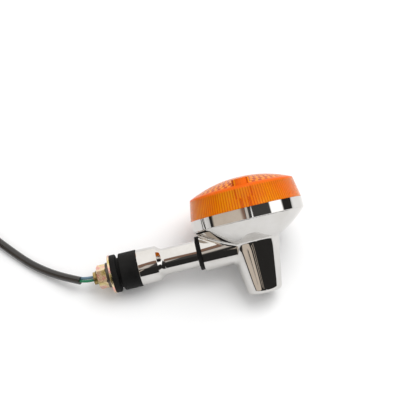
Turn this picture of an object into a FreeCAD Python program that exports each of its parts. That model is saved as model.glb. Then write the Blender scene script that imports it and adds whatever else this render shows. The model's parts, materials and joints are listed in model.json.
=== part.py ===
import FreeCAD, Part
import math
import os
import Sketcher

os.makedirs("parts", exist_ok=True)

# A round motorcycle turn signal on a rubber-mounted stem, lying on a table.
# The lamp frame has its origin on the lens axis at the lens seat, +Z out through the lens
# and the stem along -X. The stem frame has +Z out along the stem, from the lens axis.
# A size written as a sum follows the sizes that it names.
sizes = {
    # how far cutting shapes reach past the faces they cut
    "overrun": 1.0,
    # lens
    "lensRadius": 38.0,
    "lensTaper": 2.4,
    "lensTopRadius": "lensRadius - lensTaper",
    "lensBandHeight": 14.3,
    "lensDomeRise": 8.0,
    "lensWall": 2.4,
    "lensEdge": 1.2,
    "lensShoulder": 1.8,
    "lensShoulderRise": 0.3,
    "screwInset": 9.8,
    "screwCircle": "lensRadius - screwInset",
    "wellRadius": 4.5,
    "wellWall": 1.4,
    "wellFloor": 8.4,
    "wellFloorWall": 2.0,
    "postRadius": 3.1,
    # housing
    "bandStep": 0.2,
    "bandRadius": "lensRadius + bandStep",
    "bandDepth": 7.2,
    "bandEdge": 0.6,
    "bowlRadius": 80.0,
    "bossTopRadius": 17.6,
    "bossTop": 21.8,
    "bossEndRadius": 11.3,
    "bossEnd": 57.0,
    "bossFillet": 3.5,
    "shellWall": 1.8,
    "seatLip": 1.8,
    "seatRadius": "bandRadius - seatLip",
    "seatWidth": 2.8,
    "stemDrop": 21.4,
    "stubRadius": 12.9,
    "stubInset": 2.8,
    "stubFace": "bandRadius - stubInset",
    "stubBore": 9.6,
    "stubWall": 3.0,
    "saddleFillet": 2.2,
    "screwPost": 3.5,
    "postClear": 0.5,
    "bossEndWall": 2.5,
    "postGap": 0.2,
    # lens screws
    "screwHead": 3.6,
    "screwHeadHeight": 2.4,
    "screwShank": 1.95,
    "screwTail": 9.0,
    "screwClear": 0.25,
    "screwFit": 0.1,
    "sealThick": 0.8,
    "recessWidth": 0.9,
    "recessLength": 4.4,
    "recessDepth": 1.4,
    # reflector and gasket
    "sheetThick": 0.6,
    "gasketThick": 1.0,
    "looseFit": 0.2,
    "dishRim": 4.0,
    "dishRadius": "seatRadius - dishRim",
    "dishDepth": 15.6,
    "dishArc": 44.0,
    "neckLip": 1.0,
    "neckRadius": "flangeRadius + neckLip",
    "neckSlant": 0.1,
    "rimSlant": 0.2,
    "bulbHoleGap": 1.3,
    # bulb
    "baseRadius": 7.5,
    "baseWall": 0.5,
    "baseTop": 11.0,
    "baseBottom": 27.6,
    "tipRadius": 3.0,
    "tipHeight": 1.0,
    "tipTaper": 1.0,
    "pinRadius": 0.95,
    "pinStandout": 1.1,
    "pinReach": "baseRadius + pinStandout",
    "pinDepth": 19.0,
    "glassRadius": 12.5,
    "glassTop": 15.0,
    "glassFit": 0.1,
    "glassNeck": "baseRadius - baseWall - glassFit",
    "glassWall": 0.6,
    "glassTuck": 3.0,
    "glassShoulder": 2.0,
    "glassArc": 9.0,
    "glassCrown": 1.2,
    "glassWaist": 5.0,
    "beadHeight": 2.0,
    "beadRise": 3.0,
    "filamentHeight": 3.0,
    "filamentSpan": 3.2,
    "filamentWire": 0.35,
    # socket
    "socketClear": 0.08,
    "socketWall": 0.7,
    "socketBottom": 40.0,
    "flangeWidth": 3.5,
    "flangeRadius": "baseRadius + flangeWidth",
    "insulatorThick": 2.5,
    "bulbTravel": 2.0,
    "slotTurn": 20.0,
    "slotGap": 0.2,
    "plungerStem": 1.9,
    "plungerGap": 1.9,
    "plungerHead": "baseRadius - plungerGap",
    "plungerHeadThick": 1.8,
    "plungerTail": 1.0,
    "plungerChamfer": 0.5,
    "springInset": 1.2,
    "springRadius": "plungerHead - springInset",
    "springWire": 0.4,
    "springPitch": 1.3,
    "springTurns": 3,
    "springGap": 0.2,
    # stem
    "spigotRadius": 5.0,
    "spigotFit": 0.06,
    "spigotReach": 12.9,
    "spigotEnd": "stubFace - spigotReach",
    "stemBore": 3.3,
    "gasketRadius": 11.4,
    "stemGasket": 2.9,
    "neckTubeRadius": 8.95,
    "neckEnd": 62.0,
    "neckFlare": 5.0,
    "collarStart": 65.6,
    "collarNearRadius": 11.85,
    "collarRadius": 12.3,
    "collarEnd": 78.7,
    "collarEdge": 0.5,
    "innerWasherRadius": 8.8,
    "innerWasherThick": 1.2,
    "innerNutThick": 5.0,
    # mount hardware
    "studRadius": 5.0,
    "studStep": 0.7,
    "studLead": "studRadius - studStep",
    "studStart": 69.0,
    "studEnd": 109.9,
    "studChamfer": 0.8,
    "sleeveFit": 0.05,
    "sleeveWall": 1.55,
    "sleeveRadius": "studRadius + sleeveFit + sleeveWall",
    "rubberRadius": 12.5,
    "rubberEnd": 90.8,
    "rubberEdge": 0.8,
    "seatRubber": 10.0,
    "grooveWidth": 2.1,
    "discRadius": 12.8,
    "discThick": 3.8,
    "washerRadius": 13.0,
    "washerThick": 1.4,
    "washerGap": 0.3,
    "washerHole": "studRadius + washerGap",
    "lockRadius": 8.5,
    "lockThick": 2.5,
    "lockGap": 1.6,
    "nutFlats": 14.0,
    "nutThick": 6.3,
    "nutFit": 0.05,
    "nutCornerWide": 1.2,
    "nutCornerHigh": 0.7,
    "threadChamfer": 0.5,
    # cable
    "wireRadius": 0.95,
    "wireOffset": 1.1,
    "wireGap": 1.5,
    "wireOverlap": 20.5,
    "wireExit": 4.6,
    "wireDrop": 3.8,
    "wireBeside": 2.5,
    "wireBow": "baseRadius + wireBeside",
    "wireRise": 10.0,
    "wireMouth": 1.0,
    "sheathRadius": 2.7,
    "coilOuter": 33.7,
    "coilInner": 22.7,
    "tieWidth": 3.0,
    "tieThick": 0.6,
    "bulletLength": 14.0,
    "bulletRadius": 1.95,
    "crimpRadius": 1.6,
    "sleeveLength": 7.5,
    "bulletStep": 0.6,
    "bulletCollar": 1.4,
    "cableSleeve": 2.6,
}

# Routes of the free cable where it lies, chosen by hand. The near end is in x, y, z; the
# far end is round the coil's centre, as distance, degrees and height.
greenNearRoute = [
    (-52.9, -7.5, 14.0),
    (-62.3, -7.5, 12.2),
    (-71.7, -7.5, 11.4),
    (-79.8, -6.9, 9.9),
    (-87.6, -3.0, 7.8),
]
blueNearRoute = [
    (-52.9, -5.3, 14.0),
    (-62.3, -5.3, 12.2),
    (-71.7, -5.3, 11.6),
    (-79.8, -4.8, 10.3),
    (-87.2, -1.2, 8.2),
]
sheathRoute = [
    (-82.0, -5.2, 9.4),
    (-92.5, 1.2, 6.3),
    (-104.0, 9.5, 3.6),
    (-115.0, 18.6, 2.7),
    (-126.5, 31.0, 2.7),
    (-137.5, 44.0, 2.7),
    (-147.8, 57.7, 2.7),
]
coilCentre = FreeCAD.Vector(-172.6, 39.0, 0)
tieAngle = 40
greenFarRoute = [
    (26.4, 30, 2.7),
    (26.1, 45, 2.4),
    (22.6, 65, 1.4),
    (19.0, 88, 1.1),
    (17.2, 110, 1.6),
    (16.0, 133, 2.6),
]
blueFarRoute = [
    (24.45, 30, 2.7),
    (24.0, 45, 2.3),
    (20.0, 65, 1.3),
    (15.0, 90, 1.1),
    (11.5, 122, 1.5),
    (9.0, 165, 2.6),
]
greenBulletHeading = 238
blueBulletHeading = 265

doc = FreeCAD.newDocument("TurnSignal")
sheet = doc.addObject("Spreadsheet::Sheet", "Sizes")
for row, (alias, size) in enumerate(sizes.items(), start=1):
    sheet.set("A" + str(row), alias)
    sheet.set("B" + str(row), "=" + size if isinstance(size, str) else str(size))
    sheet.setAlias("B" + str(row), alias)
doc.recompute()

flatsToCorner = 1 / math.sqrt(3)
nodes = {}


def splitTerms(text):
    # a size is written as a sum, such as "stubFace + stemGasket" or "2*lensWall - 1"
    sign = 1
    for word in text.split():
        if word in ("+", "-"):
            sign = 1 if word == "+" else -1
        else:
            yield sign, word.split("*")
            sign = 1


def number(word):
    if word.lstrip("-") in sizes:
        return float(sheet.get(word.lstrip("-"))) * (-1 if word[0] == "-" else 1)
    return float(word)


def value(text):
    total = 0.0
    for sign, factors in splitTerms(text):
        product = sign
        for factor in factors:
            product *= number(factor)
        total += product
    return total


def linked(text):
    parts = []
    for sign, factors in splitTerms(text):
        names = []
        for factor in factors:
            bare = factor.lstrip("-")
            lead = "-" if factor[0] == "-" else ""
            names.append(lead + ("Sizes." + bare if bare in sizes else bare))
        parts.append(("+ " if sign > 0 else "- ") + "(" + " * ".join(names) + ")")
    return "0 " + " ".join(parts)


def originPlane(body, role):
    return [plane for plane in body.Origin.OriginFeatures if plane.Role == role][0]


def sketchOn(body, role, name):
    sketch = body.newObject("Sketcher::SketchObject", name)
    sketch.AttachmentSupport = [(originPlane(body, role), "")]
    sketch.MapMode = "FlatFace"
    return sketch


def arcCentre(start, end, rule):
    # "axis" puts the centre on the turning axis, otherwise rule is (radius, side)
    if rule == "axis":
        rise = (start.x ** 2 - end.x ** 2 + start.y ** 2 - end.y ** 2) / (2 * (start.y - end.y))
        return FreeCAD.Vector(0, rise, 0)
    radius = value(rule[0])
    middle = (start + end) * 0.5
    along = end - start
    reach = math.sqrt(max(radius ** 2 - (along.Length / 2) ** 2, 0))
    across = FreeCAD.Vector(-along.y, along.x, 0).normalize()
    return middle + across * (reach * rule[1])


def addSegment(sketch, start, end, rule):
    # returns the geometry's index and which of its ends lie at start and at end
    if rule is None:
        return sketch.addGeometry(Part.LineSegment(start, end), False), 1, 2
    centre = arcCentre(start, end, rule)
    radius = (start - centre).Length
    first = math.atan2(start.y - centre.y, start.x - centre.x)
    last = math.atan2(end.y - centre.y, end.x - centre.x)
    sweep = (last - first) % (2 * math.pi)
    circle = Part.Circle(centre, FreeCAD.Vector(0, 0, 1), radius)
    if sweep <= math.pi:
        return sketch.addGeometry(Part.ArcOfCircle(circle, first, first + sweep), False), 1, 2
    return sketch.addGeometry(Part.ArcOfCircle(circle, last, last - sweep + 2 * math.pi), False), 2, 1


def bind(sketch, kind, geometry, point, text):
    if kind == "Radius":
        index = sketch.addConstraint(Sketcher.Constraint(kind, geometry, value(text)))
    else:
        index = sketch.addConstraint(Sketcher.Constraint(kind, -1, 1, geometry, point, value(text)))
    sketch.setExpression("Constraints[" + str(index) + "]", linked(text))


def outline(sketch, corners):
    # each corner is (x, y) or (x, y, rule): a rule makes the run to the next corner an arc
    places = [FreeCAD.Vector(value(corner[0]), value(corner[1]), 0) for corner in corners]
    runs = []
    for index, corner in enumerate(corners):
        rule = corner[2] if len(corner) > 2 else None
        runs.append(addSegment(sketch, places[index], places[(index + 1) % len(places)], rule))
    for index, corner in enumerate(corners):
        geometry, head, tail = runs[index]
        following, nextHead, _ = runs[(index + 1) % len(runs)]
        sketch.addConstraint(Sketcher.Constraint("Coincident", geometry, tail, following, nextHead))
        bind(sketch, "DistanceX", geometry, head, corner[0])
        bind(sketch, "DistanceY", geometry, head, corner[1])
        if len(corner) > 2 and corner[2] == "axis":
            sketch.addConstraint(Sketcher.Constraint("PointOnObject", geometry, 3, -2))
        elif len(corner) > 2:
            bind(sketch, "Radius", geometry, 0, corner[2][0])


def turned(name, corners):
    body = doc.addObject("PartDesign::Body", name)
    sketch = sketchOn(body, "XZ_Plane", name + "Outline")
    outline(sketch, corners)
    turn = body.newObject("PartDesign::Revolution", name + "Turn")
    turn.Profile = sketch
    turn.ReferenceAxis = (sketch, ["V_Axis"])
    turn.Angle = 360
    return body


def ring(name, inner, outer, low, high):
    return turned(name, [(inner, low), (outer, low), (outer, high), (inner, high)])


def primitive(kind, name, links, base=("0", "0", "0"), rotation=None):
    item = doc.addObject(kind, name)
    if rotation:
        item.Placement = FreeCAD.Placement(FreeCAD.Vector(), rotation)
    for key, text in links.items():
        item.setExpression(key, linked(text))
    for axis, text in zip("xyz", base):
        item.setExpression("Placement.Base." + axis, linked(text))
    return item


def cylinder(name, radius, height, base=("0", "0", "0"), rotation=None):
    return primitive("Part::Cylinder", name, {"Radius": radius, "Height": height}, base, rotation)


def box(name, lengths, base, rotation=None):
    links = dict(zip(("Length", "Width", "Height"), lengths))
    return primitive("Part::Box", name, links, base, rotation)


def fuse(name, shapes):
    item = doc.addObject("Part::MultiFuse", name)
    item.Shapes = shapes
    return item


def cut(name, base, tool):
    item = doc.addObject("Part::Cut", name)
    item.Base = base
    item.Tool = tool
    return item


def common(name, base, tool):
    item = doc.addObject("Part::Common", name)
    item.Base = base
    item.Tool = tool
    return item


def keep(node, item, frame):
    item.Label = node
    nodes[node] = (item, frame)


def edgeNames(shape, test):
    return [index for index, edge in enumerate(shape.Edges, start=1) if test(edge)]


def atScrews(build):
    # both lens screws stand beside the stem's line, on the lamp's Y axis
    return [build(side, sign) for side, sign in (("Front", "-1"), ("Back", "1"))]


alongStem = FreeCAD.Rotation(FreeCAD.Vector(0, 1, 0), -90)


# ---- head: lens -------------------------------------------------------------------------

def makeLens():
    outer = turned("lensOuter", [
        ("0", "0"),
        ("lensRadius", "0"),
        ("lensTopRadius", "lensBandHeight - lensEdge", ("lensShoulder", 1)),
        ("lensTopRadius - lensEdge", "lensBandHeight + lensShoulderRise", "axis"),
        ("0", "lensBandHeight + lensDomeRise"),
    ])
    inner = turned("lensInner", [
        ("0", "-overrun"),
        ("lensRadius - lensWall", "-overrun"),
        ("lensRadius - lensWall", "0"),
        ("lensTopRadius - lensWall", "lensBandHeight - lensWall", "axis"),
        ("0", "lensBandHeight + lensDomeRise - lensWall"),
    ])

    def tower(side, sign):
        tube = cylinder("wellTube" + side, "wellRadius + wellWall", "lensBandHeight + lensDomeRise",
                        ("0", sign + "*screwCircle", "wellFloor - wellFloorWall"))
        post = cylinder("lensPost" + side, "postRadius", "wellFloor",
                        ("0", sign + "*screwCircle", "0"))
        return [tube, post]

    def shaft(side, sign):
        well = cylinder("well" + side, "wellRadius", "lensBandHeight + lensDomeRise",
                        ("0", sign + "*screwCircle", "wellFloor"))
        hole = cylinder("lensHole" + side, "screwShank + screwClear", "wellFloor + 2*overrun",
                        ("0", sign + "*screwCircle", "-overrun"))
        return [well, hole]

    towers = fuse("lensTowers", sum(atScrews(tower), []))
    cavity = cut("lensCavity", inner, towers)
    shafts = fuse("lensShafts", sum(atScrews(shaft), []))
    keep("lens", cut("lensBody", outer, fuse("lensHollows", [cavity, shafts])), "lamp")


def makeLensScrews():
    for side, sign, node in (("Front", "-1", "lens_screw_front"), ("Back", "1", "lens_screw_back")):
        place = ("0", sign + "*screwCircle", "wellFloor + sealThick")
        head = cylinder("screwHead" + side, "screwHead", "screwHeadHeight", place)
        shank = cylinder("screwShank" + side, "screwShank", "wellFloor + sealThick + screwTail",
                         ("0", sign + "*screwCircle", "-screwTail"))
        recessBase = "wellFloor + sealThick + screwHeadHeight - recessDepth"
        slotLong = box("screwSlot" + side, ("recessLength", "recessWidth", "screwHeadHeight"),
                       ("-0.5*recessLength", sign + "*screwCircle - 0.5*recessWidth", recessBase))
        slotAcross = box("screwCross" + side, ("recessWidth", "recessLength", "screwHeadHeight"),
                         ("-0.5*recessWidth", sign + "*screwCircle - 0.5*recessLength", recessBase))
        blank = fuse("screwBlank" + side, [head, shank])
        recess = fuse("screwRecess" + side, [slotLong, slotAcross])
        keep(node, cut("lensScrew" + side, blank, recess), "lamp")


def makeSeals():
    def seal(side, sign):
        place = ("0", sign + "*screwCircle", "wellFloor")
        disc = cylinder("sealDisc" + side, "screwHead + looseFit", "sealThick", place)
        hole = cylinder("sealHole" + side, "screwShank + screwClear", "sealThick", place)
        return cut("seal" + side, disc, hole)

    pair = doc.addObject("Part::Compound", "lensScrewSeals")
    pair.Links = atScrews(seal)
    keep("lens_screw_seals", pair, "lamp")


# ---- head: housing ----------------------------------------------------------------------

def makeHousing():
    solid = turned("housingOuter", [
        ("0", "0"),
        ("bandRadius", "0"),
        ("bandRadius", "-bandDepth", ("bandEdge", 1)),
        ("bandRadius - bandEdge", "-bandDepth - bandEdge", ("bowlRadius", -1)),
        ("bossTopRadius", "-bossTop"),
        ("bossEndRadius", "-bossEnd"),
        ("0", "-bossEnd"),
    ])
    stub = cylinder("stubOuter", "stubRadius", "stubFace", ("0", "0", "-stemDrop"), alongStem)
    blank = fuse("housingBlank", [solid, stub])
    doc.recompute()
    rounded = doc.addObject("Part::Fillet", "housingRounded")
    rounded.Base = blank
    saddle = value("saddleFillet")
    stubRadius = value("stubRadius")

    def isBossEnd(edge):
        low = edge.BoundBox
        return abs(low.ZMax + value("bossEnd")) < 0.01 and low.ZLength < 0.01 and low.XLength > 1

    def isSaddle(edge):
        spots = edge.discretize(5)
        offsets = [math.hypot(spot.y, spot.z + value("stemDrop")) for spot in spots]
        onStub = all(abs(offset - stubRadius) < 0.01 for offset in offsets)
        nearFace = all(abs(spot.x + value("stubFace")) < 0.01 for spot in spots)
        return onStub and not nearFace and edge.BoundBox.YLength > 1

    def isBossTop(edge):
        low = edge.BoundBox
        return abs(low.ZMax + value("bossTop")) < 0.01 and low.ZLength < 0.01

    picks = [(name, value("bossFillet")) for name in edgeNames(blank.Shape, isBossEnd)]
    picks += [(name, saddle) for name in edgeNames(blank.Shape, isSaddle)]
    picks += [(name, saddle) for name in edgeNames(blank.Shape, isBossTop)]
    rounded.Edges = [(name, radius, radius) for name, radius in picks]
    doc.recompute()
    hollow = turned("housingInner", [
        ("0", "overrun"),
        ("seatRadius", "overrun"),
        ("seatRadius", "-gasketThick - sheetThick"),
        ("seatRadius - seatWidth", "-gasketThick - sheetThick"),
        ("seatRadius - seatWidth", "-bandDepth - bandEdge", ("bowlRadius - shellWall", -1)),
        ("bossTopRadius - shellWall", "-bossTop"),
        ("bossEndRadius - shellWall", "-bossEnd + bossEndWall"),
        ("0", "-bossEnd + bossEndWall"),
    ])
    bore = cylinder("stubBoreCut", "stubBore", "stubFace - stubWall", ("0", "0", "-stemDrop"), alongStem)

    def post(side, sign):
        return cylinder("screwPost" + side, "screwPost", "bossTop", ("0", sign + "*screwCircle",
                        "-bossTop - postGap"))

    def tap(side, sign):
        return cylinder("screwTap" + side, "screwShank + screwFit", "screwTail + 2*overrun",
                        ("0", sign + "*screwCircle", "-screwTail - overrun"))

    cavity = cut("housingCavity", fuse("housingHollow", [hollow, bore]), fuse("posts", atScrews(post)))
    hole = cylinder("spigotHole", "spigotRadius + spigotFit", "stubFace + overrun", ("0", "0", "-stemDrop"),
                    alongStem)
    tools = fuse("housingTools", [cavity, hole] + atScrews(tap))
    keep("housing", cut("housingBody", rounded, tools), "lamp")


def makeLensGasket():
    keep("lens_gasket", ring("lensGasket", "seatRadius - seatWidth", "seatRadius - looseFit",
                             "-gasketThick", "0"), "lamp")


def makeReflector():
    dish = turned("dish", [
        ("seatRadius - looseFit", "-gasketThick"),
        ("dishRadius", "-gasketThick", ("dishArc", -1)),
        ("neckRadius", "-dishDepth + sheetThick"),
        ("baseRadius + bulbHoleGap", "-dishDepth + sheetThick"),
        ("baseRadius + bulbHoleGap", "-dishDepth"),
        ("neckRadius + neckSlant", "-dishDepth", ("dishArc + sheetThick", 1)),
        ("dishRadius + rimSlant", "-gasketThick - sheetThick"),
        ("seatRadius - looseFit", "-gasketThick - sheetThick"),
    ])

    def gap(side, sign):
        return cylinder("dishGap" + side, "screwPost + postClear", "dishDepth + overrun",
                        ("0", sign + "*screwCircle", "-dishDepth"))

    keep("reflector", cut("reflectorBody", dish, fuse("dishGaps", atScrews(gap))), "lamp")


# ---- head: bulb and socket --------------------------------------------------------------

def makeBulb():
    cup = turned("baseCup", [
        ("0", "-baseBottom"),
        ("baseRadius", "-baseBottom"),
        ("baseRadius", "-baseTop"),
        ("baseRadius - baseWall", "-baseTop"),
        ("baseRadius - baseWall", "-baseBottom + 2*baseWall"),
        ("0", "-baseBottom + 2*baseWall"),
    ])
    acrossLamp = FreeCAD.Rotation(FreeCAD.Vector(1, 0, 0), -90)
    pin = cylinder("bayonetPins", "pinRadius", "2*pinReach", ("0", "-pinReach", "-pinDepth"), acrossLamp)
    room = cylinder("baseRoom", "baseRadius - baseWall", "baseBottom - baseTop",
                    ("0", "0", "-baseBottom + 2*baseWall"))
    keep("bulb_base", cut("bulbBase", fuse("baseAndPins", [cup, pin]), room), "lamp")
    keep("bulb_contact", turned("bulbContact", [
        ("0", "-baseBottom - tipHeight"),
        ("tipRadius - tipTaper", "-baseBottom - tipHeight"),
        ("tipRadius", "-baseBottom"),
        ("0", "-baseBottom"),
    ]), "lamp")
    keep("bulb_glass", turned("bulbGlass", [
        ("glassNeck", "-baseTop - glassTuck"),
        ("glassNeck", "-baseTop + glassShoulder", ("glassArc", -1)),
        ("glassRadius - glassCrown", "glassTop - glassRadius - glassWaist", "axis"),
        ("0", "glassTop"),
        ("0", "glassTop - glassWall", "axis"),
        ("glassRadius - glassCrown - glassWall", "glassTop - glassRadius - glassWaist", ("glassArc", 1)),
        ("glassNeck - glassWall", "-baseTop + glassShoulder"),
        ("glassNeck - glassWall", "-baseTop - glassTuck"),
    ]), "lamp")
    acrossFilament = FreeCAD.Rotation(FreeCAD.Vector(0, 1, 0), 90)
    posts = [cylinder("filamentPost" + side, "filamentWire", "filamentHeight + baseTop",
                      (sign + "*filamentSpan", "0", "-baseTop")) for side, sign in (("A", "-1"), ("B", "1"))]
    coil = cylinder("filamentCoil", "2*filamentWire", "2*filamentSpan + 4*filamentWire",
                    ("-filamentSpan - 2*filamentWire", "0", "filamentHeight"), acrossFilament)
    bead = cylinder("filamentBead", "glassNeck - 2*glassWall", "beadHeight", ("0", "0", "-baseTop - glassTuck"))
    stem = cylinder("filamentStem", "filamentSpan + 3*filamentWire", "glassTuck + beadRise",
                    ("0", "0", "-baseTop - glassTuck"))
    keep("bulb_filament", fuse("bulbFilament", posts + [coil, bead, stem]), "lamp")


def makeSocket():
    inside = "baseRadius + socketClear"
    outside = "baseRadius + socketClear + socketWall"
    shell = turned("shellTube", [
        (inside, "-socketBottom"),
        (outside, "-socketBottom"),
        (outside, "-dishDepth - sheetThick"),
        ("flangeRadius", "-dishDepth - sheetThick"),
        ("flangeRadius", "-dishDepth"),
        (inside, "-dishDepth"),
    ])
    slotHalf = "pinRadius + slotGap"
    lowest = "-pinDepth - bulbTravel - pinRadius - slotGap"
    windows = []
    for side, turn in (("Front", 180), ("Back", 0)):
        spin = FreeCAD.Rotation(FreeCAD.Vector(0, 0, 1), turn)
        entry = FreeCAD.Rotation(FreeCAD.Vector(0, 0, 1), turn - value("slotTurn"))
        lock = box("slotLock" + side, ("1", "1", "1"), ("0", "0", "0"))
        link = box("slotLink" + side, ("1", "1", "1"), ("0", "0", "0"))
        mouth = box("slotMouth" + side, ("1", "1", "1"), ("0", "0", "0"))
        for item, length in ((lock, "2*pinRadius + 2*slotGap"), (mouth, "2*pinRadius + 2*slotGap"),
                             (link, "4*pinRadius + 2*slotGap")):
            item.setExpression("Length", linked(length))
            item.setExpression("Width", linked("flangeRadius"))
        lock.setExpression("Height", linked("bulbTravel + 2*pinRadius + 2*slotGap"))
        link.setExpression("Height", linked("2*pinRadius + 2*slotGap"))
        mouth.setExpression("Height", linked("pinDepth + bulbTravel - dishDepth + 4*pinRadius"))
        for item, rotation in ((lock, spin), (link, spin), (mouth, entry)):
            start = rotation.multVec(FreeCAD.Vector(-value(slotHalf), 0, 0))
            item.Placement.Rotation = rotation
            item.setExpression("Placement.Base.x", str(start.x))
            item.setExpression("Placement.Base.y", str(start.y))
            item.setExpression("Placement.Base.z", linked(lowest))
        windows += [lock, link, mouth]
    keep("socket_shell", cut("socketShell", shell, fuse("slots", windows)), "lamp")
    keep("socket_insulator", ring("socketInsulator", "plungerStem + looseFit", inside,
                                  "-socketBottom", "-socketBottom + insulatorThick"), "lamp")
    headTop = "-baseBottom - tipHeight"
    keep("contact_plunger", turned("contactPlunger", [
        ("0", "-socketBottom - plungerTail"),
        ("plungerStem", "-socketBottom - plungerTail"),
        ("plungerStem", headTop + " - plungerHeadThick"),
        ("plungerHead", headTop + " - plungerHeadThick"),
        ("plungerHead", headTop + " - plungerChamfer"),
        ("plungerStem", headTop),
        ("0", headTop),
    ]), "lamp")
    makeSpring(headTop + " - plungerHeadThick")


def makeSpring(top):
    foot = top + " - springGap - springWire - springTurns*springPitch"
    helix = primitive("Part::Helix", "springLine", {"Radius": "springRadius", "Pitch": "springPitch",
                                                    "Height": "springTurns*springPitch"}, ("0", "0", foot))
    wire = primitive("Part::Circle", "springSection", {"Radius": "springWire"},
                     ("springRadius", "0", foot), FreeCAD.Rotation(FreeCAD.Vector(1, 0, 0), 90))
    doc.recompute()
    coil = doc.addObject("Part::Sweep", "contactSpring")
    coil.Sections = [wire]
    coil.Spine = (helix, ["Edge" + str(index + 1) for index in range(len(helix.Shape.Edges))])
    coil.Solid = True
    coil.Frenet = True
    keep("contact_spring", coil, "lamp")


# ---- stem and mount hardware ------------------------------------------------------------

def makeStem():
    keep("stem_gasket", ring("stemGasketRing", "spigotRadius + looseFit", "gasketRadius",
                             "stubFace", "stubFace + stemGasket"), "stem")
    keep("stem_tube", turned("stemTube", [
        ("stemBore", "spigotEnd"),
        ("spigotRadius", "spigotEnd"),
        ("spigotRadius", "stubFace + stemGasket"),
        ("neckTubeRadius", "stubFace + stemGasket"),
        ("neckTubeRadius", "neckEnd", ("neckFlare", 1)),
        ("0.5*neckTubeRadius + 0.5*collarNearRadius", "0.5*neckEnd + 0.5*collarStart", ("neckFlare", -1)),
        ("collarNearRadius", "collarStart"),
        ("collarRadius", "collarEnd - collarEdge", ("collarEdge", 1)),
        ("collarRadius - collarEdge", "collarEnd"),
        ("studRadius", "collarEnd"),
        ("studRadius", "studStart"),
        ("stemBore", "studStart"),
    ]), "stem")
    innerFace = "stubFace - stubWall"
    keep("stem_washer", ring("stemWasher", "spigotRadius + looseFit", "innerWasherRadius",
                             innerFace + " - innerWasherThick", innerFace), "stem")
    prism = primitive("Part::Prism", "stemNutPrism",
                      {"Circumradius": str(flatsToCorner) + "*nutFlats", "Height": "innerNutThick"},
                      ("0", "0", innerFace + " - innerWasherThick - innerNutThick"))
    bore = cylinder("stemNutBore", "spigotRadius + 0.2*nutFit", "innerNutThick",
                    ("0", "0", innerFace + " - innerWasherThick - innerNutThick"))
    keep("stem_nut", cut("stemNut", prism, bore), "stem")
    # the stud's free end beyond its nut is a little slimmer, as its thread runs out
    nutEnd = "rubberEnd + grooveWidth + discThick + washerThick + lockThick + nutThick"
    keep("mount_stud", turned("mountStud", [
        ("stemBore", "studStart"),
        ("studRadius", "studStart"),
        ("studRadius", nutEnd),
        ("studLead", nutEnd),
        ("studLead", "studEnd - studChamfer"),
        ("studLead - studChamfer", "studEnd"),
        ("stemBore", "studEnd"),
    ]), "stem")


def makeRubbers():
    split = "rubberEnd + 0.5*grooveWidth"
    discStart = "rubberEnd + grooveWidth"
    discEnd = "rubberEnd + grooveWidth + discThick"
    keep("spacer_sleeve", ring("spacerSleeve", "studRadius + sleeveFit", "sleeveRadius",
                               "collarEnd", discEnd), "stem")
    keep("inner_rubber", turned("innerRubber", [
        ("sleeveRadius", "collarEnd"),
        ("rubberRadius", "collarEnd"),
        ("rubberRadius", "rubberEnd - rubberEdge", ("rubberEdge", 1)),
        ("rubberRadius - rubberEdge", "rubberEnd"),
        ("seatRubber", "rubberEnd"),
        ("seatRubber", split),
        ("sleeveRadius", split),
    ]), "stem")
    keep("outer_rubber", turned("outerRubber", [
        ("sleeveRadius", split),
        ("seatRubber", split),
        ("seatRubber", discStart),
        ("discRadius - rubberEdge", discStart, ("rubberEdge", 1)),
        ("discRadius", discStart + " + rubberEdge"),
        ("discRadius", discEnd),
        ("sleeveRadius", discEnd),
    ]), "stem")


def makeFasteners():
    washerStart = "rubberEnd + grooveWidth + discThick"
    lockStart = washerStart + " + washerThick"
    nutStart = lockStart + " + lockThick"
    keep("mount_washer", ring("mountWasher", "washerHole", "washerRadius", washerStart, lockStart), "stem")
    lockRing = ring("lockRing", "washerHole", "lockRadius", lockStart, nutStart)
    slit = box("lockSlit", ("lockRadius + overrun", "lockGap", "2*lockThick"),
               ("-lockRadius - overrun", "-0.5*lockGap", lockStart + " - 0.5*lockThick"))
    keep("lock_washer", cut("lockWasher", lockRing, slit), "stem")
    prism = primitive("Part::Prism", "mountNutPrism",
                      {"Circumradius": str(flatsToCorner) + "*nutFlats", "Height": "nutThick"},
                      ("0", "0", nutStart))
    trim = turned("mountNutTrim", [
        ("0", nutStart),
        ("0.5*nutFlats", nutStart),
        ("0.5*nutFlats + nutCornerWide", nutStart + " + nutCornerHigh"),
        ("0.5*nutFlats + nutCornerWide", nutStart + " + nutThick - nutCornerHigh"),
        ("0.5*nutFlats", nutStart + " + nutThick"),
        ("0", nutStart + " + nutThick"),
    ])
    bore = turned("mountNutBore", [
        ("0", nutStart),
        ("studRadius + nutFit + threadChamfer", nutStart),
        ("studRadius + nutFit", nutStart + " + threadChamfer"),
        ("studRadius + nutFit", nutStart + " + nutThick - threadChamfer"),
        ("studRadius + nutFit + threadChamfer", nutStart + " + nutThick"),
        ("0", nutStart + " + nutThick"),
    ])
    keep("mount_nut", cut("mountNut", common("mountNutBlank", prism, trim), bore), "stem")


# ---- wires and cable --------------------------------------------------------------------

def roundedPath(points):
    # straight runs joined by tangent arcs as large as the runs allow
    edges = []
    radii = []
    start = points[0]
    for before, corner, after in zip(points, points[1:], points[2:]):
        inward = (corner - before).normalize()
        outward = (after - corner).normalize()
        turn = inward.getAngle(outward)
        trim = 0.45 * min((corner - before).Length, (after - corner).Length)
        radius = trim / math.tan(turn / 2)
        toCentre = (outward - inward).normalize()
        middle = corner + toCentre * (radius / math.cos(turn / 2) - radius)
        arcStart = corner - inward * trim
        arcEnd = corner + outward * trim
        edges.append(Part.LineSegment(start, arcStart).toShape())
        edges.append(Part.Arc(arcStart, middle, arcEnd).toShape())
        radii.append(round(radius, 1))
        start = arcEnd
    edges.append(Part.LineSegment(start, points[-1]).toShape())
    return Part.Wire(edges), radii


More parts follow.
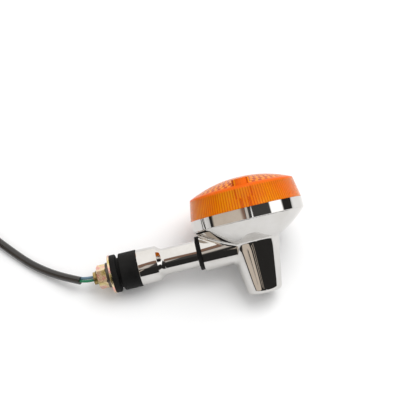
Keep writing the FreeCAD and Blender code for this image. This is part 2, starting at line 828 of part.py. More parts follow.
def makeTube(node, points, radiusName, frame):
    path, radii = roundedPath(points)
    radius = value(radiusName)
    section = Part.Wire(Part.Circle(points[0], points[1] - points[0], radius).toShape())
    tube = doc.addObject("Part::Feature", node)
    tube.Shape = path.makePipeShell([section], True, False)
    expected = math.pi * radius ** 2 * path.Length
    print(node, "length", round(path.Length, 1), "radii", radii,
          "volume", round(tube.Shape.Volume / expected, 3))
    keep(node, tube, frame)


def aroundCoil(distance, degrees, height):
    angle = math.radians(degrees)
    return coilCentre + FreeCAD.Vector(distance * math.cos(angle), distance * math.sin(angle), height)


def makeInnerWires():
    # from the socket down, round its foot, up beside it and into the stem's mouth
    for colour, sign in (("green", "-1"), ("blue", "1")):
        offset = value(sign + "*wireOffset")
        foot = -value("socketBottom")
        points = [
            (-value("wireExit"), foot),
            (-value("wireExit"), foot - value("wireDrop")),
            (-value("wireBow"), foot - value("wireDrop")),
            (-value("wireBow + wireMouth"), foot + value("wireRise")),
            (-value("wireBow + 1.4*wireMouth"), -value("stemDrop")),
            (-value("spigotEnd - wireMouth"), -value("stemDrop")),
        ]
        route = [FreeCAD.Vector(x, offset, z) for x, z in points]
        makeTube("socket_" + colour + "_wire", route, "wireRadius", "lamp")
        inside = [FreeCAD.Vector(offset, 0, value(end))
                  for end in ("spigotEnd + wireGap", "studEnd - wireOverlap")]
        makeTube("stem_" + colour + "_wire", inside, "wireRadius", "stem")


def makeCable():
    for colour, near, far in (("green", greenNearRoute, greenFarRoute),
                              ("blue", blueNearRoute, blueFarRoute)):
        makeTube(colour + "_wire", [FreeCAD.Vector(*spot) for spot in near], "wireRadius", "row")
        makeTube(colour + "_tail", [aroundCoil(*spot) for spot in far], "wireRadius", "row")
    makeTube("cable_sheath", [FreeCAD.Vector(*spot) for spot in sheathRoute], "sheathRadius", "row")


def makeCoil():
    height = "2*sheathRadius"
    ringBody = turned("coilRing", [
        ("coilInner + sheathRadius", "0"),
        ("coilOuter - sheathRadius", "0", ("sheathRadius", 1)),
        ("coilOuter", "sheathRadius", ("sheathRadius", 1)),
        ("coilOuter - sheathRadius", height),
        ("coilInner + sheathRadius", height, ("sheathRadius", 1)),
        ("coilInner", "sheathRadius", ("sheathRadius", 1)),
    ])
    across = "coilOuter - coilInner + 2*looseFit"
    band = box("tieBand", (across + " + 2*tieThick", "tieWidth", "2*sheathRadius + tieThick"),
               ("coilInner - looseFit - tieThick", "-0.5*tieWidth", "0"))
    slot = box("tieSlot", (across, "tieWidth", "2*sheathRadius - tieThick"),
               ("coilInner - looseFit", "-0.5*tieWidth", "tieThick"))
    tie = cut("tieLoop", band, slot)
    groove = box("tieGroove", (across + " + 2*tieThick", "tieWidth", "tieThick"),
                 ("coilInner - looseFit - tieThick", "-0.5*tieWidth", "0"))
    keep("cable_coil", cut("cableCoil", ringBody, groove), "coil")
    keep("coil_tie", tie, "coil")


def makeBullets():
    for colour in ("green", "blue"):
        keep(colour + "_bullet", turned(colour + "Bullet", [
            ("0", "0"),
            ("crimpRadius", "0"),
            ("crimpRadius", "sleeveLength"),
            ("bulletRadius", "sleeveLength + bulletStep"),
            ("bulletRadius", "sleeveLength + bulletStep + bulletCollar"),
            ("crimpRadius", "sleeveLength + 2*bulletStep + bulletCollar"),
            ("crimpRadius", "sleeveLength + 3*bulletStep + bulletCollar"),
            ("bulletRadius", "sleeveLength + 4*bulletStep + bulletCollar"),
            ("bulletRadius", "bulletLength - bulletRadius", "axis"),
            ("0", "bulletLength"),
        ]), colour + "Bullet")
        keep(colour + "_sleeve", ring(colour + "Sleeve", "crimpRadius", "cableSleeve",
                                      "0", "sleeveLength"), colour + "Bullet")


def bulletFrame(route, heading):
    turn = FreeCAD.Rotation(FreeCAD.Vector(0, 0, 1), heading)
    lie = FreeCAD.Rotation(FreeCAD.Vector(0, 1, 0), 90)
    return FreeCAD.Placement(aroundCoil(*route[-1]), turn.multiply(lie))


# ---- resting pose -----------------------------------------------------------------------

def bisect(test, low, high):
    # the value between low and high where test changes sign
    for _ in range(60):
        middle = (low + high) / 2
        if test(low) * test(middle) <= 0:
            high = middle
        else:
            low = middle
    return (low + high) / 2


def restingPlacement():
    # the lamp lies on its band's rear edge, its boss's end and its mount washer
    def lowPoint(centreHeight, radius, tilt, round):
        return centreHeight - radius * math.sqrt(1 - tilt ** 2) - round

    edge = value("bandEdge")
    fillet = value("bossFillet")
    slope = (value("bossTopRadius") - value("bossEndRadius")) / (value("bossEnd") - value("bossTop"))
    bossRing = value("bossEndRadius") + slope * fillet - fillet * math.sqrt(1 + slope ** 2)

    def bandHeight(up):
        return lowPoint(-value("bandDepth") * up, value("bandRadius") - edge, up, edge)

    def bossHeight(up):
        return lowPoint((fillet - value("bossEnd")) * up, bossRing, up, fillet)

    upLens = bisect(lambda up: bandHeight(up) - bossHeight(up), 0.05, 0.95)
    ground = bandHeight(upLens)
    washerEnd = value("rubberEnd + grooveWidth + discThick + washerThick")

    def washerHeight(lean):
        centre = -washerEnd * lean - value("stemDrop") * upLens
        return lowPoint(centre, value("washerRadius"), lean, 0)

    lean = bisect(lambda lean: washerHeight(lean) - ground, -0.3, 0.6)
    up = FreeCAD.Vector(lean, -math.sqrt(1 - lean ** 2 - upLens ** 2), upLens)
    right = (FreeCAD.Vector(1, 0, 0) - up * lean).normalize()
    away = up.cross(right)
    matrix = FreeCAD.Matrix(right.x, right.y, right.z, 0, away.x, away.y, away.z, 0,
                            up.x, up.y, up.z, -ground, 0, 0, 0, 1)
    return FreeCAD.Placement(matrix)


def placeParts():
    lamp = restingPlacement()
    stem = lamp.multiply(FreeCAD.Placement(FreeCAD.Vector(0, 0, -value("stemDrop")), alongStem))
    frames = {"lamp": lamp, "stem": stem}
    spread = FreeCAD.BoundBox()
    for item, frame in nodes.values():
        if frame in frames:
            shape = item.Shape.copy()
            shape.Placement = frames[frame]
            spread.add(shape.optimalBoundingBox(False, False))
    shift = FreeCAD.Placement(FreeCAD.Vector(-spread.Center.x, -spread.Center.y, 0), FreeCAD.Rotation())
    frames = {name: shift.multiply(frame) for name, frame in frames.items()}
    frames["row"] = FreeCAD.Placement()
    frames["coil"] = FreeCAD.Placement(coilCentre, FreeCAD.Rotation(FreeCAD.Vector(0, 0, 1), tieAngle))
    frames["greenBullet"] = bulletFrame(greenFarRoute, greenBulletHeading)
    frames["blueBullet"] = bulletFrame(blueFarRoute, blueBulletHeading)
    for item, frame in nodes.values():
        item.Placement = frames[frame]
    return frames["lamp"], frames["stem"]


# ---- build ------------------------------------------------------------------------------

makeLens()
makeLensScrews()
makeSeals()
makeHousing()
makeLensGasket()
makeReflector()
makeBulb()
makeSocket()
makeStem()
makeRubbers()
makeFasteners()
makeInnerWires()
makeCable()
makeCoil()
makeBullets()
doc.recompute()
lampPlace, stemPlace = placeParts()
doc.recompute()

for item in doc.Objects:
    if "Invalid" in item.State or "Error" in item.State:
        raise RuntimeError(item.Label + " did not build: " + str(item.State))
for node, (item, _) in nodes.items():
    if item.Shape.isNull() or not item.Shape.isValid():
        raise RuntimeError(node + " has no valid shape")
    item.Shape.exportStep("parts/" + node + ".step")
    print(node, round(item.Shape.Volume, 1), len(item.Shape.Solids))
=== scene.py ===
import json
import math
import bmesh
import bpy
from mathutils import Matrix, Vector


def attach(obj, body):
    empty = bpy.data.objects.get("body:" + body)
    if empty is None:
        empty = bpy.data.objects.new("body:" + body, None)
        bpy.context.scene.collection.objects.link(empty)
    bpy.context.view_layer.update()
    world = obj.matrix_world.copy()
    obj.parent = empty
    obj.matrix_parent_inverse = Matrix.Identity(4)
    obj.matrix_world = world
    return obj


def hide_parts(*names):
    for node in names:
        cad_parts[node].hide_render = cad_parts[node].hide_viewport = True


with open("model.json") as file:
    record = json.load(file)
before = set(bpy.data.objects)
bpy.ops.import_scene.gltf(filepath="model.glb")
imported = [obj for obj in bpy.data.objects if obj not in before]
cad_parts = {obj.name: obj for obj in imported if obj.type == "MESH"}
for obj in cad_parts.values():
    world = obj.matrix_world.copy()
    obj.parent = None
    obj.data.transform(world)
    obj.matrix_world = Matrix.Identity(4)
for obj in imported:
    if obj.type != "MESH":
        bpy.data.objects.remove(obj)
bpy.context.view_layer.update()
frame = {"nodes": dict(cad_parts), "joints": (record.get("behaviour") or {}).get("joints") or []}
print("frame loaded")

# the lamp's own frame has the lens axis as Z, and its stem leaves along -X
joints = {joint["name"]: joint for joint in frame["joints"]}
screwSpots = [Vector(joints[name]["pos_m"]) for name in ("front_screw_turn", "back_screw_turn")]
lensUp = Vector(joints["lens_lift"]["axis"]).normalized()
stemOut = Vector(joints["head_swivel"]["axis"]).normalized()
wellFloor = 8.4  # mm, from the lens's rim up to the floor of a screw well
stemDrop = 21.4  # mm, from the lens's rim down to the stem's axis
millimetre = 0.001


def axesAt(origin, across, up):
    side = up.cross(across)
    turn = Matrix((across, side, up)).transposed().to_4x4()
    return Matrix.Translation(origin) @ turn


lampOrigin = (screwSpots[0] + screwSpots[1]) / 2 - lensUp * wellFloor * millimetre
lampFrame = axesAt(lampOrigin, -stemOut, lensUp)
stemFrame = axesAt(lampOrigin - lensUp * stemDrop * millimetre, lensUp, stemOut)
plainFrame = Matrix.Identity(4)


# a piece is drawn in millimetres in its own frame, then set in place
def finishMesh(bm, name, place, smoothAngle=35):
    bmesh.ops.remove_doubles(bm, verts=bm.verts, dist=0.0005)
    bmesh.ops.recalc_face_normals(bm, faces=bm.faces)
    bmesh.ops.transform(bm, matrix=place @ Matrix.Scale(millimetre, 4), verts=bm.verts)
    mesh = bpy.data.meshes.new(name)
    bm.to_mesh(mesh)
    bm.free()
    mesh.shade_smooth()
    mesh.set_sharp_from_angle(angle=math.radians(smoothAngle))
    piece = bpy.data.objects.new(name, mesh)
    bpy.context.scene.collection.objects.link(piece)
    return piece


def softened(corners, steps=4):
    # corners are (x, z) or (x, z, radius): a radius rounds that corner of the closed outline
    points = []
    count = len(corners)
    for index, corner in enumerate(corners):
        if len(corner) < 3:
            points.append(corner)
            continue
        here = Vector(corner[:2])
        before = (Vector(corners[index - 1][:2]) - here).normalized()
        after = (Vector(corners[(index + 1) % count][:2]) - here).normalized()
        half = before.angle(after) / 2
        reach = corner[2] / math.tan(half)
        centre = here + (before + after).normalized() * (corner[2] / math.sin(half))
        first = here + before * reach - centre
        last = here + after * reach - centre
        for step in range(steps + 1):
            spoke = first.slerp(last, step / steps).normalized()
            points.append(tuple(centre + spoke * corner[2]))
    return points


def spun(outline, steps=128, closed=True):
    bm = bmesh.new()
    dots = [bm.verts.new((x, 0, z)) for x, z in outline]
    pairs = list(zip(dots, dots[1:] + dots[:1]))
    if not closed:
        pairs.pop()
    lines = [bm.edges.new(pair) for pair in pairs if pair[0].co.x or pair[1].co.x]
    bmesh.ops.spin(bm, geom=dots + lines, cent=(0, 0, 0), axis=(0, 0, 1), angle=2 * math.pi,
                   steps=steps, use_merge=True)
    bmesh.ops.remove_doubles(bm, verts=bm.verts, dist=0.0005)
    bmesh.ops.dissolve_degenerate(bm, dist=0.0005, edges=bm.edges)
    return bm


def smoothCopy(node, name, smoothAngle=30, edge=0.0):
    # the fixed part's own surface as one clean shell, with its small edges eased
    mesh = frame["nodes"][node].data.copy()
    mesh.name = name
    bm = bmesh.new()
    bm.from_mesh(mesh)
    bmesh.ops.remove_doubles(bm, verts=bm.verts, dist=0.000002)
    bmesh.ops.dissolve_degenerate(bm, dist=0.000001, edges=bm.edges)
    bm.to_mesh(mesh)
    bm.free()
    if mesh.has_custom_normals:
        mesh.attributes.remove(mesh.attributes["custom_normal"])
    mesh.materials.clear()
    mesh.shade_smooth()
    mesh.set_sharp_from_angle(angle=math.radians(smoothAngle))
    piece = bpy.data.objects.new(name, mesh)
    bpy.context.scene.collection.objects.link(piece)
    if edge:
        bevel = piece.modifiers.new("easedEdges", "BEVEL")
        bevel.width = edge * millimetre
        bevel.segments = 2
        bevel.limit_method = "ANGLE"
        bevel.angle_limit = math.radians(40)
        bevel.harden_normals = True
    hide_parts(node)
    return piece


def applyBoolean(piece, tool, operation):
    change = piece.modifiers.new(operation.lower(), "BOOLEAN")
    change.operation = operation
    change.solver = "EXACT"
    change.object = tool
    bpy.context.view_layer.update()
    graph = bpy.context.evaluated_depsgraph_get()
    mesh = bpy.data.meshes.new_from_object(piece.evaluated_get(graph))
    piece.modifiers.remove(change)
    piece.data = mesh
    bpy.data.objects.remove(tool)


# a thread's depth and the corners of one turn, as shares of the pitch; the core's inset in mm
thread = {"depth": 0.54, "foot": 0.12, "crest": 0.45, "crestEnd": 0.58, "footEnd": 0.92, "inset": 0.05}


def threaded(radius, bore, start, end, pitch, stepsPerTurn=36, tip=0.6):
    # a helical thread wound up by a turning, rising outline, on a plain core with a bore
    root = radius - thread["depth"] * pitch
    inner = root - thread["inset"]
    bm = bmesh.new()
    rise = [(root, 0), (root, thread["foot"] * pitch), (radius, thread["crest"] * pitch),
            (radius, thread["crestEnd"] * pitch), (root, thread["footEnd"] * pitch), (root, pitch)]
    turns = math.floor((end - start - 2 * tip) / pitch) - 1
    dots = [bm.verts.new((x, 0, start + tip + z)) for x, z in rise]
    lines = [bm.edges.new(pair) for pair in zip(dots, dots[1:])]
    bmesh.ops.spin(bm, geom=dots + lines, cent=(0, 0, 0), axis=(0, 0, 1), angle=2 * math.pi * turns,
                   dvec=(0, 0, pitch / stepsPerTurn), steps=stepsPerTurn * turns)
    core = spun([(bore, start), (inner, start), (inner, end), (bore, end)], 72)
    shell = bpy.data.meshes.new("core")
    core.to_mesh(shell)
    core.free()
    bm.from_mesh(shell)
    bpy.data.meshes.remove(shell)
    return bm


def newMaterial(name, **values):
    material = bpy.data.materials.new(name)
    material.use_nodes = True
    shader = material.node_tree.nodes["Principled BSDF"]
    for socket, value in values.items():
        shader.inputs[socket.replace("_", " ")].default_value = value
    return material


def addNode(tree, kind, **settings):
    node = tree.nodes.new(kind)
    for key, value in settings.items():
        setattr(node, key, value)
    return node


def objectSpace(tree, place=plainFrame):
    # the piece's own coordinates in millimetres, seen from a frame
    coordinates = addNode(tree, "ShaderNodeTexCoord")
    mapping = addNode(tree, "ShaderNodeMapping")
    inverse = place.inverted()
    mapping.inputs["Rotation"].default_value = inverse.to_euler()
    mapping.inputs["Location"].default_value = inverse.to_translation() / millimetre
    mapping.inputs["Scale"].default_value = (1 / millimetre,) * 3
    tree.links.new(coordinates.outputs["Object"], mapping.inputs["Vector"])
    return mapping.outputs["Vector"]


def noise(tree, vector, scale, detail=4, roughness=0.55):
    texture = addNode(tree, "ShaderNodeTexNoise")
    texture.inputs["Scale"].default_value = scale
    texture.inputs["Detail"].default_value = detail
    texture.inputs["Roughness"].default_value = roughness
    tree.links.new(vector, texture.inputs["Vector"])
    return texture.outputs["Fac"]


def ramp(tree, factor, stops):
    node = addNode(tree, "ShaderNodeValToRGB")
    elements = node.color_ramp.elements
    while len(elements) < len(stops):
        elements.new(0.5)
    for element, (place, colour) in zip(elements, stops):
        element.position = place
        element.color = (*colour, 1)
    tree.links.new(factor, node.inputs["Fac"])
    return node.outputs["Color"]


def remap(tree, factor, low, high, toLow=0.0, toHigh=1.0, smooth=False):
    node = addNode(tree, "ShaderNodeMapRange")
    if smooth:
        node.interpolation_type = "SMOOTHSTEP"
    for socket, value in (("From Min", low), ("From Max", high), ("To Min", toLow), ("To Max", toHigh)):
        node.inputs[socket].default_value = value
    tree.links.new(factor, node.inputs["Value"])
    return node.outputs["Result"]


def calc(tree, operation, *terms):
    node = addNode(tree, "ShaderNodeMath", operation=operation)
    for index, term in enumerate(terms):
        if isinstance(term, (int, float)):
            node.inputs[index].default_value = term
        else:
            tree.links.new(term, node.inputs[index])
    return node.outputs[0]


def mixed(tree, factor, first, second, blend="MIX"):
    node = addNode(tree, "ShaderNodeMix", data_type="RGBA", blend_type=blend)
    for socket, value in ((node.inputs[0], factor), (node.inputs[6], first), (node.inputs[7], second)):
        if isinstance(value, (int, float)):
            socket.default_value = value
        elif isinstance(value, tuple):
            socket.default_value = (*value, 1)
        else:
            tree.links.new(value, socket)
    return node.outputs[2]


def feed(tree, output, socket):
    tree.links.new(output, tree.nodes["Principled BSDF"].inputs[socket])


def bumpFrom(tree, height, distance, strength=1.0):
    node = addNode(tree, "ShaderNodeBump")
    node.inputs["Strength"].default_value = strength
    node.inputs["Distance"].default_value = distance * millimetre
    tree.links.new(height, node.inputs["Height"])
    feed(tree, node.outputs["Normal"], "Normal")


def roughen(tree, fine, rough):
    # the middle of a noise spread over a range of roughness
    feed(tree, remap(tree, fine, 0.3, 0.7, *rough), "Roughness")


def metalFinish(name, tones, rough, grain, bump=0.0, patch=0.12):
    # plated metal: tones vary in patches, roughness and a fine grain vary together
    material = newMaterial(name, Metallic=1.0)
    tree = material.node_tree
    space = objectSpace(tree)
    patches = noise(tree, space, patch, 5)
    feed(tree, ramp(tree, patches, tones), "Base Color")
    fine = noise(tree, space, grain, 3, 0.6)
    roughen(tree, fine, rough)
    if bump:
        bumpFrom(tree, fine, bump)
    return material


def plasticFinish(name, tones, rough, grain=0.5, bump=0.01, coat=0.0, patch=0.08, specular=0.5):
    material = newMaterial(name, Specular_IOR_Level=specular, Coat_Weight=coat, Coat_Roughness=0.08)
    tree = material.node_tree
    space = objectSpace(tree)
    feed(tree, ramp(tree, noise(tree, space, patch, 5), tones), "Base Color")
    fine = noise(tree, space, grain, 4)
    roughen(tree, fine, rough)
    bumpFrom(tree, fine, bump)
    return material


# each finish: colour stops, range of roughness, size of its grain
chrome = metalFinish("brightChrome", [(0.35, (0.585, 0.57, 0.548)), (0.65, (0.63, 0.617, 0.6))],
                     (0.02, 0.055), 0.35)
zincYellow = metalFinish("yellowPassivatedZinc",
                         [(0.28, (0.46, 0.42, 0.17)), (0.42, (0.66, 0.53, 0.24)),
                          (0.5, (0.76, 0.62, 0.42)), (0.6, (0.78, 0.38, 0.32)),
                          (0.75, (0.42, 0.5, 0.44))],
                         (0.16, 0.34), 3.0, patch=0.16, bump=0.01)
springSteel = metalFinish("oiledSpringSteel", [(0.3, (0.055, 0.05, 0.045)), (0.7, (0.17, 0.15, 0.13))],
                          (0.25, 0.5), 4.0, bump=0.015)
brightZinc = metalFinish("brightZinc", [(0.3, (0.62, 0.63, 0.65)), (0.7, (0.8, 0.81, 0.82))],
                         (0.15, 0.35), 2.5, bump=0.01)
screwSteel = metalFinish("screwSteel", [(0.3, (0.6, 0.59, 0.57)), (0.7, (0.82, 0.8, 0.77))],
                         (0.15, 0.32), 3.0, bump=0.01)
studBrass = metalFinish("wornYellowZinc",
                        [(0.3, (0.14, 0.1, 0.035)), (0.5, (0.3, 0.22, 0.08)), (0.7, (0.46, 0.36, 0.17))],
                        (0.22, 0.45), 2.2, bump=0.02, patch=0.3)
foil = metalFinish("reflectorFoil", [(0.3, (0.86, 0.84, 0.8)), (0.7, (0.95, 0.93, 0.9))],
                   (0.05, 0.16), 0.6)
bulbBrass = metalFinish("bulbBrass", [(0.3, (0.62, 0.44, 0.18)), (0.7, (0.84, 0.66, 0.34))],
                        (0.18, 0.38), 2.0, bump=0.01)
tungsten = metalFinish("drawnTungsten", [(0.3, (0.2, 0.2, 0.22)), (0.7, (0.42, 0.42, 0.45))],
                       (0.25, 0.45), 5.0, bump=0.005)
socketSteel = metalFinish("platedSheet", [(0.3, (0.5, 0.5, 0.48)), (0.7, (0.72, 0.72, 0.7))],
                          (0.2, 0.42), 1.8, bump=0.01)
rubber = plasticFinish("mouldedRubber", [(0.3, (0.004, 0.004, 0.0042)), (0.7, (0.011, 0.0108, 0.0105))],
                       (0.5, 0.75), 1.6, 0.035, specular=0.12)
phenolic = plasticFinish("pressedBoard", [(0.3, (0.16, 0.07, 0.03)), (0.7, (0.3, 0.15, 0.07))],
                         (0.5, 0.7), 2.5, 0.03)
greenVinyl = plasticFinish("greenInsulation", [(0.3, (0.002, 0.11, 0.045)), (0.7, (0.006, 0.2, 0.09))],
                           (0.22, 0.36), 0.8, 0.008)
blueVinyl = plasticFinish("blueInsulation", [(0.3, (0.07, 0.14, 0.2)), (0.7, (0.15, 0.24, 0.31))],
                          (0.22, 0.36), 0.8, 0.008)
blackVinyl = plasticFinish("blackSleeving",
                           [(0.3, (0.006, 0.005, 0.005)), (0.7, (0.018, 0.014, 0.011))],
                           (0.12, 0.26), 0.5, 0.02, coat=0.3)


def makeClear(name, colour, transmission, rough, ior):
    material = newMaterial(name, Transmission_Weight=transmission, IOR=ior)
    tree = material.node_tree
    fine = noise(tree, objectSpace(tree), 0.4, 4)
    dim = tuple(channel * 0.93 for channel in colour)
    feed(tree, ramp(tree, fine, [(0.35, dim), (0.65, colour)]), "Base Color")
    roughen(tree, fine, rough)
    return material


bulbGlass = makeClear("bulbGlass", (0.97, 0.985, 0.99), 1.0, (0.0, 0.02), 1.5)
clearVinyl = makeClear("clearVinyl", (0.9, 0.9, 0.86), 0.8, (0.15, 0.3), 1.5)


lensLook = {
    "ribs": 132,
    "flutes": 43,
    "blockRings": (12.5, 17.0, 21.5, 26.0, 30.5),
    # glow: the bright amber of the band, also the painted light on the lit side of each dome block
    "glow": (1.0, 0.37, 0.006),
    "warm": (1.0, 0.25, 0.004),
    # painted shade: darker amber for the lines along the ribs and the edges in front of the screw posts
    "bandShade": (0.72, 0.085, 0.001),
    # painted shade: the dome's darker red-orange
    "dome": (0.86, 0.15, 0.012),
    # painted shade on the dark side of each dome block
    "shade": (0.34, 0.032, 0.001),
    # shares of painted shade: on the ribs of the band, then on the blocks of the dome
    "ribShade": 0.8,
    "blockShade": 0.65,
    # painted shade lines in the band, in front of each screw post and its well
    "postShadeEdges": [(2.7, -1.0, 6.4), (5.2, 6.4, 14.0)],  # distance from the middle, foot and top, mm
    "faceFrom": (12.2, 13.6),
    "clear": (0.45, 0.12),  # in the band, in the face
    "gloss": (0.4, 0.06),
    "rough": (0.04, 0.11),
    "ribBump": 0.05,
}


def paintedPostShade(tree, x, z):
    # painted shade: the band is darkened in upright edges in front of the screw post and the well above
    # it
    across = calc(tree, "ABSOLUTE", x)
    shades = []
    for place, low, high in lensLook["postShadeEdges"]:
        off = calc(tree, "ABSOLUTE", calc(tree, "SUBTRACT", across, place))
        line = remap(tree, off, 0.3, 0.9, 0.75, 0.0)
        above, below = calc(tree, "GREATER_THAN", z, low), calc(tree, "LESS_THAN", z, high)
        shades.append(calc(tree, "MULTIPLY", line, calc(tree, "MULTIPLY", above, below)))
    return calc(tree, "MAXIMUM", *shades)


def makeAmber():
    # clear amber with painted light and shade: darker lines along the ribs inside the band, a lit and a
    # shaded side on each block of the dome, a darker dome
    material = newMaterial("amberLens", IOR=1.2)
    tree = material.node_tree
    space = objectSpace(tree, lampFrame)
    split = addNode(tree, "ShaderNodeSeparateXYZ")
    tree.links.new(space, split.inputs[0])
    x, y, z = split.outputs
    around = calc(tree, "ARCTAN2", y, x)
    squares = calc(tree, "ADD", calc(tree, "MULTIPLY", x, x), calc(tree, "MULTIPLY", y, y))
    outward = calc(tree, "SQRT", squares)
    ribWave = calc(tree, "COSINE", calc(tree, "MULTIPLY", around, lensLook["ribs"]))
    ribLine = remap(tree, ribWave, 0.2, 0.95, smooth=True)
    drift = noise(tree, space, 0.05, 3)
    body = mixed(tree, remap(tree, drift, 0.35, 0.65), lensLook["glow"], lensLook["warm"])
    # painted shade: darker lines along the ribs of the band
    band = mixed(tree, calc(tree, "MULTIPLY", ribLine, lensLook["ribShade"]), body, lensLook["bandShade"])
    rings = None
    for radius in lensLook["blockRings"]:
        step = calc(tree, "GREATER_THAN", outward, radius)
        rings = step if rings is None else calc(tree, "ADD", rings, step)
    fluteTurn = calc(tree, "MULTIPLY", around, lensLook["flutes"])
    ringTurn = calc(tree, "MULTIPLY", rings, math.pi)  # each ring is half a flute on from the last
    fluteWave = calc(tree, "COSINE", calc(tree, "ADD", fluteTurn, ringTurn))
    # painted light and shade: each block on the dome gets a lit side and a shaded side
    block = remap(tree, fluteWave, -0.35, 0.35, smooth=True)
    blocks = mixed(tree, block, lensLook["shade"], lensLook["glow"])
    inBlocks = calc(tree, "MULTIPLY", calc(tree, "GREATER_THAN", outward, lensLook["blockRings"][0]),
                    calc(tree, "LESS_THAN", outward, lensLook["blockRings"][-1] + 2.5))
    # the face takes the dome's painted darker shade outside the blocks
    face = mixed(tree, calc(tree, "MULTIPLY", inBlocks, lensLook["blockShade"]), lensLook["dome"], blocks)
    onFace = remap(tree, z, *lensLook["faceFrom"], smooth=True)
    # painted shade in front of the screw posts and wells
    band = mixed(tree, paintedPostShade(tree, x, z), band, lensLook["bandShade"])
    feed(tree, remap(tree, onFace, 0.0, 1.0, *lensLook["clear"]), "Transmission Weight")
    feed(tree, remap(tree, onFace, 0.0, 1.0, *lensLook["gloss"]), "Specular IOR Level")
    feed(tree, mixed(tree, onFace, band, face), "Base Color")
    roughen(tree, noise(tree, space, 0.8, 4), lensLook["rough"])
    bumpFrom(tree, ribWave, lensLook["ribBump"])
    return material


amber = makeAmber()
print("finishes made")


def dress(piece, material, body):
    piece.data.materials.clear()
    piece.data.materials.append(material)
    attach(piece, body)


# a domed amber cover, ribbed inside its band and blocked inside its face
lens = {
    "radius": 38.0, "topRadius": 35.6, "bandHeight": 14.3, "rise": 8.0, "wall": 2.4,
    "rimEase": 0.15, "bandTop": 13.1, "edgeInset": 1.2, "edgeLift": 0.3,
    "edgeRound": [(35.45, 13.75), (35.05, 14.25), (34.4, 14.6)],
    "plainCentre": [0.0, 6.0, 11.8], "ringStep": 0.1, "innerShares": (0.9, 0.6, 0.3, 0.12, 0.0),
    "ribDepth": 0.55, "ribFoot": 1.0, "blockDepth": 0.7, "blockStart": 12.4, "blockEnd": 30.6,
    "skin": 1.2, "wellRadius": 4.5, "wellWall": 1.4, "wellDrop": 3.0, "postRadius": 3.1,
    "screwCircle": 28.2, "floorWall": 2.0, "hole": 2.2,
    "stepsPerRib": 5, "bandSteps": 6, "domeSteps": 24, "drumSteps": 48, "smoothAngle": 28,
}


def domeHeight(outward, crown, edgeRadius, edgeHeight):
    # a shallow cap through its crown and its edge
    sag = crown - edgeHeight
    ball = (edgeRadius ** 2 + sag ** 2) / (2 * sag)
    return crown - ball + math.sqrt(ball ** 2 - outward ** 2)


def makeLens():
    edge = lens["topRadius"] - lens["edgeInset"]
    edgeHeight = lens["bandHeight"] + lens["edgeLift"]
    crown = lens["bandHeight"] + lens["rise"]
    taper = lens["radius"] - lens["topRadius"]
    outer = [(lens["radius"] - lens["rimEase"], 0.0), (lens["radius"], lens["rimEase"])]
    for step in range(1, lens["bandSteps"] + 1):
        share = step / lens["bandSteps"]
        outer.append((lens["radius"] - taper * share, lens["bandTop"] * share))
    outer += lens["edgeRound"]
    for step in range(1, lens["domeSteps"] + 1):
        outward = edge * (1 - step / lens["domeSteps"])
        outer.append((outward, domeHeight(outward, crown, edge, edgeHeight)))
    innerCrown = crown - lens["wall"]
    innerEdge = lens["topRadius"] - lens["wall"]
    ceiling = lens["bandHeight"] - lens["wall"]
    stops = list(lens["plainCentre"])
    for radius in lensLook["blockRings"]:
        stops += [radius - lens["ringStep"], radius + lens["ringStep"]]
    inner = [(outward, domeHeight(outward, innerCrown, innerEdge, ceiling)) for outward in stops]
    inner.append((innerEdge, ceiling))
    for share in lens["innerShares"]:
        inner.append((lens["radius"] - lens["wall"] - taper * share, ceiling * share))
    bm = spun(outer + inner, lensLook["ribs"] * lens["stepsPerRib"])
    for dot in bm.verts:
        outward = math.hypot(dot.co.x, dot.co.y)
        around = math.atan2(dot.co.y, dot.co.x)
        onBand = outward > innerEdge - 0.2 and outward < lens["radius"] - lens["wall"] + 0.05
        blockTop = domeHeight(min(outward, edge), crown, edge, edgeHeight) - lens["skin"]
        if onBand and lens["ribFoot"] < dot.co.z < ceiling + 0.1:
            wave = 0.5 + 0.5 * math.cos(around * lensLook["ribs"])
            reach = lens["ribDepth"] * wave / outward
            dot.co.x -= dot.co.x * reach
            dot.co.y -= dot.co.y * reach
        elif lens["blockStart"] < outward < lens["blockEnd"] and dot.co.z < blockTop:
            ring = sum(1 for radius in lensLook["blockRings"] if outward > radius)
            wave = math.cos(around * lensLook["flutes"] + ring * math.pi)
            dot.co.z -= lens["blockDepth"] * (0.5 + 0.5 * wave)
    cover = finishMesh(bm, "ribbedLens", plainFrame, lens["smoothAngle"])
    low = wellFloor - lens["floorWall"]
    shapeWells(cover, "UNION", lens["wellRadius"] + lens["wellWall"], low, crown - lens["wellDrop"])
    shapeWells(cover, "UNION", lens["postRadius"], 0.02, low + 0.5)
    shapeWells(cover, "DIFFERENCE", lens["wellRadius"], wellFloor, crown + 2)
    shapeWells(cover, "DIFFERENCE", lens["hole"], -1, wellFloor + 1)
    cover.data.transform(lampFrame)
    cover.data.set_sharp_from_angle(angle=math.radians(lens["smoothAngle"]))
    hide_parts("lens")
    dress(cover, amber, "lens_cover")


def shapeWells(cover, operation, radius, low, high):
    # one drum at each lens screw, added to the cover or taken from it
    drums = bmesh.new()
    for side in (-1, 1):
        place = Matrix.Translation((0, side * lens["screwCircle"], (low + high) / 2))
        bmesh.ops.create_cone(drums, cap_ends=True, segments=lens["drumSteps"], radius1=radius,
                              radius2=radius, depth=high - low, matrix=place)
    applyBoolean(cover, finishMesh(drums, "drums", plainFrame), operation)


makeLens()
print("lens made")


# pan heads with a cross recess, threaded below
screw = {
    "head": 3.6, "headHeight": 2.4, "shank": 1.95, "tail": 9.0, "seal": 0.8, "pitch": 0.8,
    "slot": (4.2, 0.8, 2.6), "pointFoot": 0.4, "pointTop": 1.3, "pointDepth": 2.6,
}


